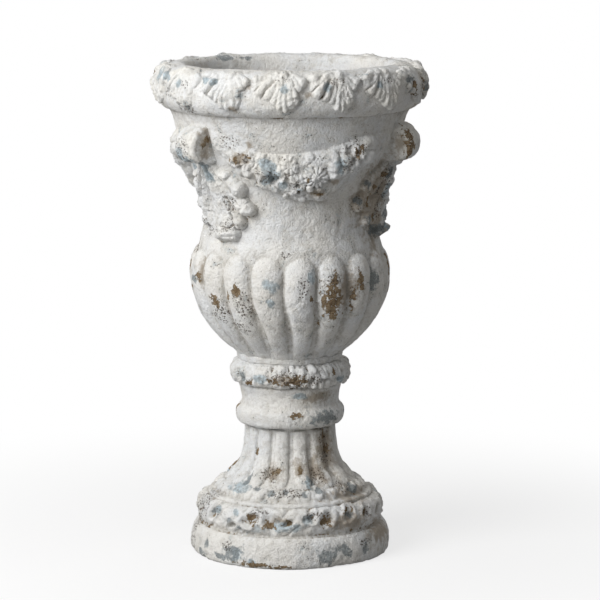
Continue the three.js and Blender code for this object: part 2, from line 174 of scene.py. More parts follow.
def blurred(field, reach, wraps):
    """A field averaged over neighbours, some rows and columns to each side."""
    shifts = range(-reach, reach + 1)
    for axis in (0, 1):
        at, mode = np.arange(field.shape[axis]), "wrap" if wraps[axis] else "clip"
        field = sum(np.take(field, at + shift, axis, mode=mode) for shift in shifts) / len(shifts)
    return field


def mesh_object(name, points, faces, layers):
    """A smooth mesh object of quads, with a number at each point for each layer."""
    mesh = bpy.data.meshes.new(name)
    mesh.vertices.add(len(points))
    mesh.vertices.foreach_set("co", (points * MM).astype(np.float32).ravel())
    mesh.loops.add(faces.size)
    mesh.loops.foreach_set("vertex_index", faces.astype(np.int32).ravel())
    mesh.polygons.add(len(faces))
    mesh.polygons.foreach_set("loop_start", np.arange(0, faces.size, 4, dtype=np.int32))
    mesh.polygons.foreach_set("use_smooth", np.ones(len(faces), bool))
    mesh.update(calc_edges=True)
    for layer, values in layers.items():
        attribute = mesh.attributes.new(layer, "FLOAT", "POINT")
        attribute.data.foreach_set("value", np.asarray(values, np.float32).ravel())
    item = bpy.data.objects.new(name, mesh)
    bpy.context.scene.collection.objects.link(item)
    return item


def turns(count):
    """Evenly spaced angles all the way round."""
    return np.arange(count) * 360 / count


def ring_faces(rows, columns):
    """Quads of a grid of points that closes on itself both ways."""
    row, column = np.arange(rows)[:, None] * columns, np.arange(columns)[None, :]
    above, right = (row + columns) % (rows * columns), (column + 1) % columns
    quads = np.stack([row + column, row + right, above + right, above + column], -1)
    return quads.reshape(-1, 4)


def shell_faces(keep):
    """Quads of a closed shell: a front grid, a back grid and sides round the kept cells."""
    rows, columns = keep.shape[0] + 1, keep.shape[1] + 1
    back = rows * columns
    spots = np.arange(back).reshape(rows, columns)
    a, b, c, d = spots[:-1, :-1], spots[:-1, 1:], spots[1:, 1:], spots[1:, :-1]
    around = np.pad(keep, 1)
    quads = [np.stack([a, b, c, d], -1)[keep], np.stack([a, d, c, b], -1)[keep] + back]
    sides = [(b, a, around[:-2, 1:-1]), (c, b, around[1:-1, 2:])]
    sides += [(d, c, around[2:, 1:-1]), (a, d, around[1:-1, :-2])]
    for first, second, neighbour in sides:
        edge = np.stack([first, second, second + back, first + back], -1)
        quads.append(edge[keep & ~neighbour])
    return np.concatenate(quads)


# Wear: chips down to the brown casting, blue washes, grey flakes and clusters of pin holes.
# Each spot is (degrees, height, half its width, half its height). Most of those that are listed
# are on the side that faces -Y, and more are scattered round the rest. Some, marked below, are
# painted shade, in whole or in part.

CHIPS = [
    (16, 318, 13, 25), (17, 342, 6, 9), (-77, 338, 4, 7), (-59, 315, 6, 9), (-41, 331, 7, 8),
    (-47, 322, 3, 7), (35, 340, 4, 15), (31, 322, 3, 16), (4, 322, 3, 7), (-24, 216, 9, 5),
    (-4, 217, 14, 8), (38, 226, 3, 6), (-52, 212, 6, 4), (-1, 173, 8, 5), (-57, 124, 2, 6),
    (-28, 103, 2, 3), (-21, 106, 3, 4), (2, 108, 3, 5), (-34, 56, 9, 6), (-22, 51, 8, 7),
    (-10, 54, 6, 4), (14, 54, 8, 7), (47, 57, 4, 5), (-30, 4, 20, 4), (-13, 3, 12, 3),
    (55, 566, 6, 9), (66, 560, 6, 12), (-40, 486, 2, 3), (-36.5, 488, 2, 2), (-36, 483, 2, 3),
    (-32, 492, 2, 2), (-29.5, 489, 3, 2), (25, 493, 5, 7), (27, 499, 5, 6), (24, 499, 3, 3),
    (7, 446, 5, 2), (0, 463, 2, 4), (41, 146, 2, 7), (44, 128, 3, 6), (30, 64, 9, 4),
    (73, 350, 3, 12), (75, 325, 3, 16), (46, 449, 5, 3), (51, 462, 7, 3), (52, 411, 4, 4),
    (44, 430, 3, 8), (68, 470, 5, 10),
]

# Where the paint is thin, and the casting shows through it as a pinkish grey. Some are painted shade,
# as marked.
THIN = [
    # The first, second and last spots here darken the right-hand hanging leaf and the neck beside it:
    # thin paint and painted shade together
    (40, 434, 8, 40), (50, 434, 28, 54), (6, 447, 12, 6), (15, 460, 7, 5), (36, 430, 11, 12),
    # The last three spots here darken the roll beside the palmettes' edges: brown tint and painted
    # shade together
    (-16, 55, 20, 7), (-29.5, 504, 5, 6), (-33, 547, 6, 6), (-1, 564, 7, 5), (-26, 572, 5, 5),
    (-34, 487, 14, 10), (66, 392, 22, 12), (40, 130, 22, 40), (20, 104, 18, 20), (-26, 104, 14, 12),
    (1, 110, 9, 12), (44, 78, 40, 12), (30, 50, 36, 14), (60, 30, 40, 20), (-14, 218, 24, 8),
    # The first spot here greys the collar's scotia in the cushion's shade: painted shade
    (24, 194, 34, 9), (56, 400, 16, 50), (66, 556, 14, 26), (-72, 345, 12, 26), (26, 330, 26, 30),
]

WASHES = [
    (-20, 338, 13, 11), (-20, 318, 6, 9), (3, 348, 10, 12), (8, 94, 5, 9), (-11, 570, 7, 8),
    (-46, 579, 9, 6), (31, 573, 6, 6), (-42, 577, 6, 5), (-19, 478, 10, 8), (-60, 62, 8, 6),
    (-46, 62, 7, 6), (2, 58, 9, 7), (-75, 490, 8, 10), (16, 474, 7, 7), (67, 394, 10, 12),
    (-41, 15, 10, 10), (-31, 7, 9, 5), (6, 572, 7, 8), (-62, 572, 7, 6), (16, 481, 10, 13),
    (-21, 462, 7, 6), (62, 442, 6, 14), (-18, 470, 13, 12), (-22, 484, 12, 8), (-13, 458, 8, 8),
    (-58, 473, 9, 12), (-56, 464, 7, 13), (-72, 574, 10, 8), (-40, 218, 16, 8), (48, 214, 8, 6),
    (2, 197, 14, 6), (-14, 50, 30, 8), (-56, 86, 20, 8),
]

FLAKES = [
    (48, 338, 8, 20), (30, 169, 26, 11), (-53, 93, 5, 10), (12, 93, 4, 6), (-44, 16, 15, 13),
    (-52, 8, 12, 6), (14, 15, 14, 12), (24, 20, 10, 10), (40, 18, 8, 8), (-66, 19, 6, 7),
    (-72, 6, 10, 5), (-61, 218, 6, 6), (4, 58, 5, 4), (-37, 87, 4, 4), (-24, 84, 5, 4),
    (-12, 85, 4, 3), (3, 83, 5, 4), (15, 85, 5, 4), (-50, 52, 4, 5), (-41, 46, 4, 3),
    (31.5, 58, 5, 5), (-66, 57, 3, 6), (52, 575, 12, 5), (50, 82, 12, 6), (58, 394, 16, 10),
    # The spots at 37, 41 and 47 degrees, here and on the next line, darken the knobs of the
    # right-hand hanging leaf: flakes and painted shade together
    (66, 412, 8, 12), (57, 462, 6, 10), (50, 447, 5, 7), (47, 408, 6, 7), (37, 432, 6, 6),
    (41, 452, 5, 6), (74, 566, 8, 12), (76, 552, 10, 10), (-150, 586, 18, 5), (-146, 560, 30, 12),
]

PITTED = [
    (-1, 338, 13, 24), (16, 345, 14, 12), (-38, 312, 16, 26), (-56, 300, 16, 22), (-12, 374, 12, 6),
    (-6, 220, 60, 14), (8, 62, 26, 8), (-30, 64, 20, 8), (-12, 84, 34, 8), (38, 86, 22, 8),
    (48, 57, 18, 12), (-58, 60, 14, 8), (-30, 103, 16, 14), (20, 100, 16, 14), (-72, 400, 14, 20),
    (-58, 402, 8, 6), (-70, 455, 8, 10), (-44, 286, 26, 18), (-70, 560, 18, 14), (-40, 505, 18, 12),
    (-60, 543, 30, 10), (38, 24, 20, 8), (-48, 22, 10, 8), (-33, 487, 18, 12), (26, 498, 14, 12),
    (19, 497, 10, 7), (6, 489, 9, 5), (-13, 488, 8, 5), (-10, 470, 10, 8), (37, 430, 12, 14),
    (-7, 457, 11, 10), (-20, 470, 20, 16), (24, 508, 14, 8), (20, 480, 12, 14), (58, 440, 26, 50),
    (66, 560, 30, 26), (-58, 572, 16, 10), (-12, 580, 14, 6), (12, 578, 16, 8), (36, 576, 16, 8),
    (-48, 405, 18, 14), (-46, 433, 14, 16), (38, 130, 14, 40),
]

# Flakes inside the mouth, which is within this radius and above this height
INSIDE_STAINS = [(-150, 588, 20, 6), (-165, 586, 10, 4)]
MOUTH_RADIUS, MOUTH_FROM = 124, 530

rng = np.random.default_rng(11)


def scatter(spots, heights, smallest, largest, sector=(75, 285)):
    """One more spot, at random in a sector of the far side."""
    spots.append((rng.uniform(*sector), rng.choice(heights), *rng.uniform(smallest, largest, 2)))


FAR_GADROONS = 20 * np.arange(4, 14) - 3
for _ in range(16):
    rib = rng.choice(FAR_GADROONS)
    CHIPS.append((rib + rng.normal(0, 4), rng.uniform(290, 350), *rng.uniform(3, 11, 2)))
for _ in range(44):
    scatter(CHIPS, [575, 560, 218, 172, 100, 56, 50, 6], 3, 9, (80, 268))
    scatter(WASHES, [578, 560, 340, 470, 92, 58], 4, 13)
    scatter(FLAKES, [575, 335, 170, 95, 60, 18, 14], 4, 12)
for _ in range(14):
    scatter(PITTED, [570, 330, 372, 218, 60, 20], 12, 40)


def worn(points, degrees, spots, inside_spots=()):
    """1 in the middle of a worn spot, 0 on its edge and less than 0 outside it."""
    radius = np.hypot(points[..., 0], points[..., 1])
    inside = (radius < MOUTH_RADIUS) & (points[..., 2] > MOUTH_FROM)
    best = np.full(radius.shape, -1.0)
    for listed, there in ((spots, ~inside), (inside_spots, inside)):
        for at, height, wide, tall in listed:
            turn = (degrees - at + 180) % 360 - 180
            across = np.radians(turn) * radius / wide
            up = (points[..., 2] - height) / tall
            share = 1 - np.sqrt(across**2 + up**2)
            best = np.where(there, np.maximum(best, share), best)
    return best


def wear_layers(points, degrees, depth):
    """The numbers that the paint reads. Some deep hollows take the chips' brown too, partly as
    painted shade, but not the belly's.
    """
    # Brown casting colour in deep hollows: chips and painted shade together
    hollow_chips_and_shade = 0.6 * ease(-depth, 0.7, 1.6) * ease(noise(points, 30, 97), -0.3, 0.3)
    hollow_chips_and_shade *= (points[..., 2] > BELLY_TOP) | (points[..., 2] < FOOT)
    chips = worn(points, degrees, CHIPS)
    return {
        # How deep each point lies in a hollow; the paint darkens deep places with it, as dirt and
        # painted shade
        "hollow": np.clip(-depth, 0, 1),
        "chips": np.where(hollow_chips_and_shade > 0.1, np.maximum(chips, hollow_chips_and_shade), chips),
        "washes": worn(points, degrees, WASHES),
        "flakes": worn(points, degrees, FLAKES, INSIDE_STAINS),
        "pitted": worn(points, degrees, PITTED),
        "thin": worn(points, degrees, THIN),
    }


def cast_depth(points, out, reach, wraps):
    """How far each point stands above its surroundings."""
    smooth = np.stack([blurred(points[..., k], reach, wraps) for k in range(3)], -1)
    return ((points - smooth) * out).sum(-1)


def on_rows(first, last, raised):
    """A relief on a run of a body's rows, and none on the others."""
    kept = np.zeros_like(raised)
    kept[first:last] = raised[first:last]
    return kept


def ring_piece(name, rows, columns, relief, roughness):
    """A turned body from rows of (radius, height), raised by a relief and roughened."""
    degrees = np.broadcast_to(columns[None, :], (len(rows), len(columns)))
    heights = np.broadcast_to(rows[:, 1][:, None], degrees.shape)
    plain = place(rows[:, 0][:, None], degrees, heights)
    wraps = (True, True)
    raised = plain + normals(plain, wraps) * relief(degrees, heights)[..., None]
    out = normals(raised, wraps)
    cast = raised + out * roughness(raised)[..., None]
    cast[..., 2] = np.maximum(cast[..., 2], 0)
    layers = wear_layers(cast, degrees, cast_depth(cast, out, 3, wraps) / 1.2)
    return mesh_object(name, cast.reshape(-1, 3), ring_faces(*degrees.shape), layers)


# Relief for the ornaments

BURIED = -2.5  # height of a front that stays inside the wall
BACK = 3.2  # depth of an ornament's back


class Relief:
    """Heights above a patch of wall, joined up from mounds and lobes, with a pull along it."""

    def __init__(self, x, y):
        self.x, self.y = x, y
        self.height = np.full(x.shape, BURIED)
        self.pull = np.zeros((*x.shape, 2))

    def join(self, heights, soft=1.5, pull=(0, 0)):
        share = np.clip(0.5 + 0.5 * (heights - self.height) / soft, 0, 1)
        self.height = self.height + (heights - self.height) * share + soft * share * (1 - share)
        self.pull += (np.array(pull) - self.pull) * share[..., None]

    def mound(self, x, y, radius, high, flat=0.5, soft=1.0):
        """A berry or bead."""
        gone = ((self.x - x) ** 2 + (self.y - y) ** 2) / radius**2
        self.join(domed(1 - gone, high, flat), soft)

    def lobe(self, base, tip, width, high, start=0.45, curl=0.0, rib=0.0, soft=1.2):
        """A leaf lobe from base to tip, rising to its round tip, which leans over by the curl."""
        run = np.subtract(tip, base)
        length = math.hypot(*run)
        way = run / length
        along = ((self.x - base[0]) * way[0] + (self.y - base[1]) * way[1]) / length
        across = ((self.y - base[1]) * way[0] - (self.x - base[0]) * way[1]) / (width / 2)
        half = np.clip(start + 1.1 * (1 - start) * along, 0.2, 1)
        end = np.clip((along - 1) * length / (width / 2) + 1, 0, None)
        begin = np.clip(-along * length / (width / 2), 0, None)
        gone = (across / half) ** 2 + end**2 + begin**2
        slope = 0.5 + 0.5 * np.clip(along, 0, 1)
        ribs = 1 + rib * (np.cos(2 * math.pi * across) - 0.6)
        self.join(domed(1 - gone, high * slope * ribs, 0.42), soft, way * curl)


def domed(share, high, flat):
    """A dome's height from its share, 1 at its middle and 0 on its edge, and a drop outside."""
    inside = np.clip(share, 0, 1) ** flat * high
    return np.where(share > 0, inside, np.maximum(share * 6, BURIED))


def relief_piece(name, wall, degrees, runs, build):
    """An ornament on a wall, closed at its back, from a function that builds its relief."""
    columns, rows = np.meshgrid(degrees, runs)
    base, out, around, along = wall.frame(columns, rows)
    relief = build(columns, rows)
    heights = np.maximum(relief.height, BURIED)
    lean = relief.pull * (np.clip(heights, 0, None) ** 2 / 20)[..., None]
    raised = base + out * heights[..., None] + around * lean[..., :1] + along * lean[..., 1:]
    open_grid = (False, False)
    face = normals(raised, open_grid)
    lumps = rough(raised, 6.5, 2, 5) + 0.5 * noise(raised, 2.4, 17)
    cast = raised + face * (0.45 * np.clip(heights, 0, 1) * lumps)[..., None]
    depth = cast_depth(cast, face, 3, open_grid) / 1.3
    proud = heights > -1.4
    keep = proud[:-1, :-1] | proud[1:, :-1] | proud[:-1, 1:] | proud[1:, 1:]
    points = np.concatenate([cast.reshape(-1, 3), (base - out * BACK).reshape(-1, 3)])
    layers = wear_layers(cast, columns, depth)
    used, quads = np.unique(shell_faces(keep), return_inverse=True)
    layers = {key: np.tile(value.ravel(), 2)[used] for key, value in layers.items()}
    return mesh_object(name, points[used], quads.reshape(-1, 4), layers)


# A spigot under each casting sits in the register of the one below
SPIGOT_RADIUS, SPIGOT_LENGTH = 37, 10
REGISTER_RADIUS, REGISTER_DEPTH = 38, 12


def spigot(bore, low):
    end = low - SPIGOT_LENGTH
    return [(bore, end), (SPIGOT_RADIUS, end), (SPIGOT_RADIUS, low)]


def register(bore, high):
    floor = high - REGISTER_DEPTH
    return [(REGISTER_RADIUS, high), (REGISTER_RADIUS, floor), (bore, floor)]


# Bowl

DRAIN_RADIUS = 14
FOOT = 237.2
BELLY_HEIGHT, BELLY_DEPTH, BELLY_RADIUS = 339, 113, 120.5
BELLY_TOP = 375
GADROONS, GADROON_TURN, GADROON_TOP = 18, -3, 371

CORE = [(57.5, FOOT), (65.5, 246), (78, 260), (93, 280), (102.5, 300), (108.3, 320), (110.5, 340)]
CORE += [(110.8, 356), (110, 369)]
NECK = [(110, 369), (108, 379), (105.5, 388), (104, 398), (103.8, 410), (104.3, 422)]
NECK += [(106.3, 432), (108.7, 441.6), (114.5, 458), (121, 475), (131, 500), (136.5, 517)]
NECK += [(139.3, 528), (143.5, 536)]
ROLL = [(148.5, 537.6), (153, 541.5), (157, 547.5), (158.5, 554), (158.5, 562), (157.5, 570)]
ROLL += [(154.5, 578), (150, 583.5), (143, 587.5), (134, 589.6), (127, 589), (122.5, 585), (121, 577)]
HOLLOW = [(121, 577), (122, 545), (122, 520), (112, 487), (97, 448), (92, 425), (91, 404)]
HOLLOW += [(94, 380), (97, 365), (98.5, 350), (97, 325), (90, 300), (78, 278), (62, 262), (40, 252)]
HOLLOW += [(DRAIN_RADIUS, 251.2)]


def gadroons(degrees, height):
    """How far the belly's ribs stand over its core. They lean a little towards the foot."""
    pitch = 360 / GADROONS
    chance = lattice(nearest(degrees, pitch, GADROON_TURN)[0] % GADROONS, 0, 0, 5)
    around = place(100, degrees, height)
    turned = degrees - GADROON_TURN - 5 * ease(height, 335, 245) + 0.7 * noise(around, 45, 12)
    across = nearest(turned, pitch)[1] / (pitch / 2)
    power = np.where(height < BELLY_HEIGHT, 1.8, 2)
    level = np.abs((BELLY_HEIGHT - height) / BELLY_DEPTH) ** power
    crest = BELLY_RADIUS * np.sqrt(np.clip(1 - level, 0, 1))
    core = np.interp(height, *np.array(through(CORE, 1)).T[::-1])
    channel = 0.04 + 0.2 * ease(height, 345, 250)
    edge = np.abs(across) / (1 - channel)
    tip = np.clip(1 - (GADROON_TOP - 3 + 4 * chance - height) / 25, 0, None)
    cap = np.clip(1 - np.hypot(edge, tip) ** 2.3, 0, 1) ** 0.66
    return np.maximum(crest - core, 2.4 * ease(height, 238, 247)) * cap


def bowl():
    end = spigot(DRAIN_RADIUS, FOOT)
    strokes = legs([*end, CORE[0]], 8, 8, 8)
    strokes += [(CORE, 2), (NECK, 2.15), ([NECK[-1], ROLL[0]], 1.7), (ROLL, 2), (HOLLOW, 8)]
    strokes += legs([HOLLOW[-1], end[0]], 8)
    rows = outline(strokes)
    columns = GADROON_TURN + turns(GADROONS * 21)
    belly_from = len(outline(strokes[:3]))
    belly_to = len(outline(strokes[:4])) + 3

    def relief(degrees, height):
        crack = 2.2 * bell(degrees + 30 + 0.5 * np.sin(height / 5), 0.9)
        crack *= (height < 402) & (height > 372)  # just over the gadroons
        ribs = on_rows(belly_from, belly_to, gadroons(degrees, height))
        return ribs - on_rows(belly_to, None, crack)

    def roughness(points):
        patch = ease(noise(points, 60, 2), -0.5, 0.6)
        return 0.8 * rough(points, 26, 2, 3) + (0.35 + 0.35 * patch) * rough(points, 6.5, 3, 9)

    return ring_piece("bowl_casting", rows, columns, relief, roughness)


# Collar

COLLAR_LOW, COLLAR_HIGH = 156.6, 234.6
COLLAR_BORE = 28
CUSHION_LEAVES, CUSHION_MIDDLE = 20, 219
CUSHION = [(61.5, 205.5), (65, 205), (69, 207), (71.3, 213), (72.3, 220), (70.5, 227), (66.5, 231.5)]
CUSHION += [(61, COLLAR_HIGH)]
SCOTIA = [(61.5, 178), (58.8, 182), (58.4, 188), (59.5, 196), (61.5, 202), (61.5, 205.5)]
BASE_RING = [(56, COLLAR_LOW), (61, 157.2), (64, 160.5), (65.6, 167), (65, 173), (62.5, 177)]
BASE_RING += [(61.5, 178)]


def collar():
    end = spigot(COLLAR_BORE, COLLAR_LOW)
    strokes = legs([*end, BASE_RING[0]], 5, 5, 5)
    strokes += [(BASE_RING, 1.2), (SCOTIA, 1.2), (CUSHION, 1.2)]
    strokes += legs([CUSHION[-1], *register(COLLAR_BORE, COLLAR_HIGH), end[0]], 5, 5, 5, 5)
    rows = outline(strokes)
    first_row, last_row = (len(outline(strokes[:k])) for k in (5, 6))

    def relief(degrees, height):
        leaf, past = nearest(degrees, 360 / CUSHION_LEAVES)
        chance = lattice(leaf % CUSHION_LEAVES, 3, 0, 8)
        units = Relief(past * 1.24, height - CUSHION_MIDDLE)
        around = place(70, degrees, height)
        units.x = units.x + 3 * noise(around, 13, 36)
        units.y = units.y + 2 * noise(around, 12, 38)
        units.lobe((0, 12), (0, -6), 12, 3.6, 0.7, 0, 0, 0.8)
        for side in (-1, 1):
            units.lobe((side * 7, 12), (side * 10.5, -2), 8, 3.4, 0.8, 0, 0, 0.8)
            units.mound(side * 5.5, -9.5 + 4 * chance, 4.5, 3)
        units.mound(9 * chance - 4.5, 10, 5, 4.2)
        worn_flat = 0.45 + 0.55 * ease(noise(around, 24, 4), -0.5, 0.5)
        raised = np.clip(units.height, -1.6, 4.4) * worn_flat - 1.3 + 1.2 * rough(around, 8, 3, 33)
        return on_rows(first_row, last_row, raised)

    def roughness(points):
        return 0.7 * rough(points, 15, 2, 23) + 0.45 * rough(points, 5, 2, 29)

    return ring_piece("collar_casting", rows, turns(400), relief, roughness)


# Pedestal

STEM_TOP, STEM_BORE = 154, 36
REED_PITCH, REED_TURN, REED_FOOT = 24, 4.5, 87
STEM = [(50.4, STEM_TOP), (50.4, 144), (51.2, 134), (52.5, 123), (54.8, 115), (57.6, 108)]
STEM += [(61.2, 102), (67.5, 96), (73.5, 91), (79.5, 87)]
BAND = [(79.5, 87), (85, 84.5), (88.5, 80), (90, 76.5), (93, 74.5), (97, 74), (99, 71.5), (98.5, 69)]
TORUS = [(98.5, 69), (102.5, 67.5), (107, 64), (110, 58), (111, 51), (110.5, 43), (109, 38)]
TORUS += [(109.5, 35.5)]
PLINTH = [(109.5, 35.5), (113, 34.5), (116.5, 29.5), (118.5, 23), (119.6, 17), (120, 10), (119.6, 4)]
PLINTH += [(118, 1), (115.5, 0)]
FOOT_HOLLOW = [(103, 0), (101, 22), (92, 42), (76, 55), (56, 61), (40, 70), (STEM_BORE, 84)]


def reeds(degrees, height):
    """How far the stem's ribs stand over its core."""
    across = nearest(degrees, REED_PITCH, REED_TURN)[1] / (REED_PITCH / 2)
    heights = [REED_FOOT, 96, 108, 123, 144, STEM_TOP]
    crest = np.interp(height, heights, [4.8, 4.8, 5.0, 4.8, 4.6, 4.4])
    tip = np.clip(1 - (height - REED_FOOT) / 14, 0, None)
    return crest * np.clip(1 - np.hypot(across / 0.76, tip) ** 2.6, 0, 1) ** 0.55


def band_leaves(degrees, height):
    """Small leaves and beads below the ends of the reeds."""
    leaf, past = nearest(degrees, REED_PITCH / 2, REED_TURN)
    chance = lattice(leaf % 30, 1, 0, 31)
    around = place(86, degrees, height)
    across = past * 1.52 + 2 * noise(around, 11, 32)
    units = Relief(across, height - 81 + 1.5 * noise(around, 10, 34))
    units.lobe((3.5, 5), (-3, -4), 7, 3.4, 0.7)
    units.mound(6 * chance - 6, -1.5, 4, 3.2)
    return np.clip(units.height, -0.6, 4) * (0.3 + 0.7 * chance) + 0.8 * rough(around, 8, 2, 35)


# The torus's worn scrolls, each a hollow with a fat rim, as (degrees, height, half its width,
# half its height, lean)
SCROLLS = [(-66, 57, 5, 8, 0.3), (-47, 47, 6, 4, 0.9), (-34, 56, 11, 6.5, 1.1)]
SCROLLS += [(-20.5, 54, 9.5, 9, -0.2), (-10, 54, 6.5, 4.5, 0.9), (2.7, 59, 8.5, 5, 0.2)]
SCROLLS += [(14, 55, 8.5, 7, 0.3), (31.5, 59, 7, 6.5, 0.3), (47, 58, 6.5, 6.5, 0.3)]
SCROLLS += [(61.5 + 14.3 * k, 55 + 2 * (k % 3), 7.5 - k % 2, 5.5 + k % 2, 0.5) for k in range(16)]
CREASE_PITCH = 14.4


def scrolls(degrees, height):
    """How far the torus's scrolls stand over or fall below it, with slanting creases between."""
    mm = 1.92  # round the torus, in a degree
    around = place(110, degrees, height)
    sway, lift = 2.4 * rough(around, 15, 2, 36), 2.2 * rough(around + 50, 13, 2, 38)
    rims, holes = np.zeros(degrees.shape), np.zeros(degrees.shape)
    for at, middle, wide, tall, lean in SCROLLS:
        up = height - middle + lift
        across = ((degrees - at + 180) % 360 - 180) * mm + sway - lean * up
        gone = np.hypot(across / wide, up / tall)
        rims = np.maximum(rims, bell(gone - 1.45, 0.42))
        holes = np.maximum(holes, bell(gone, 1, 4))
    turned = degrees + 5 - 0.5 * (height - 50) + 0.5 * sway
    crease = bell(nearest(turned, CREASE_PITCH)[1], 1.1) * ease(noise(around, 21, 44), -0.4, 0.4)
    wear = 0.5 + 0.5 * ease(noise(around, 26, 6), -0.5, 0.4)
    rims *= 0.55 + 0.45 * ease(noise(around, 9, 45), -0.3, 0.3)
    raised = ease(height, 35, 48) * (3.4 * rims * wear + 1) - 0.8 - 1.3 * crease * (1 - rims)
    knob = 4.5 * bell(np.hypot((degrees + 20) * mm, height - 54), 3.4, 4)
    return raised - 6 * holes * (0.6 + 0.4 * wear) + knob + 1.1 * rough(around, 9, 3, 39)


def pedestal():
    strokes = legs([FOOT_HOLLOW[0], PLINTH[-1]], 5)
    strokes += [(PLINTH[::-1], 1.8), (TORUS[::-1], 1.5), (BAND[::-1], 1.3), (STEM[::-1], 1.7)]
    strokes += legs([STEM[0], *register(STEM_BORE, STEM_TOP), FOOT_HOLLOW[-1]], 5, 6, 6, 8)
    strokes.append((FOOT_HOLLOW[::-1], 6))
    rows = outline(strokes)
    torus, band, stem, top = (len(outline(strokes[:k])) for k in (2, 3, 4, 5))

    def relief(degrees, height):
        raised = on_rows(torus + 2, band, scrolls(degrees, height))
        raised += on_rows(band + 3, stem, band_leaves(degrees, height))
        return raised + on_rows(stem, top, reeds(degrees, height))

    def roughness(points):
        foot = ease(points[..., 2], 40, 10)
        lumps = (0.6 + 0.6 * foot) * rough(points, 22, 2, 43)
        return lumps + (0.45 + 0.2 * foot) * rough(points, 5, 2, 47)

    return ring_piece("pedestal_casting", rows, turns(500), relief, roughness)


# Mortar beds


def mortar(name, radius, bore, low, high, climb, seed):
    """A washer of mortar, squeezed out unevenly round its edge and smeared up the piece above."""
    corners = [(bore, low), (radius - 1, low), (radius + 0.2 * climb, (low + high) / 2)]
    corners += [(radius + 0.46 * climb, high + climb), (radius - 3, high + 0.2 * climb)]
    corners += [(bore, high)]
    rows = outline(legs(corners + corners[:1], 6, 1.3, 1.3, 1.3, 6, 2))

    def relief(degrees, height):
        edge = rows[:, :1] > radius - 2
        around = place(radius, degrees, 0)
        return np.where(edge, 0.8 + 1.4 * rough(around, 11, 3, seed), 0)

    return ring_piece(name, rows, turns(240), relief, lambda points: 0.15 * rough(points, 4, 2, seed))


# Ornaments

neck_wall = Wall(NECK)
roll_wall = Wall(ROLL)


def neck_patch(middle, reach_left, reach_right, low, high):
    """Columns and rows of a patch of the neck, in degrees and in runs up the wall."""
    step, radius = 0.85, 122
    count = round(math.radians(reach_left + reach_right) * radius / step)
    degrees = middle + np.linspace(-reach_left, reach_right, count)
    low_run, high_run = neck_wall.run_at(low), neck_wall.run_at(high)
    return degrees, np.linspace(low_run, high_run, round((high_run - low_run) / step))


# The leaf's scalloped edges, as (height, from its middle to the left, to the right)
LEAF_EDGES = [(386, 6, 26), (388, 2, 30), (395, 0, 32), (401, -14, 28), (407, -27, 36)]
LEAF_EDGES += [(414, -29, 39), (418, -30, 38), (424, -42, 47), (432, -43, 49), (438, -38, 44)]
LEAF_EDGES += [(446, -40, 45), (454, -39, 45), (459, -34, 38), (465, -30, 32), (472, -20, 20)]
LEAF_EDGES += [(479, -12, 14), (487, -8, 12)]


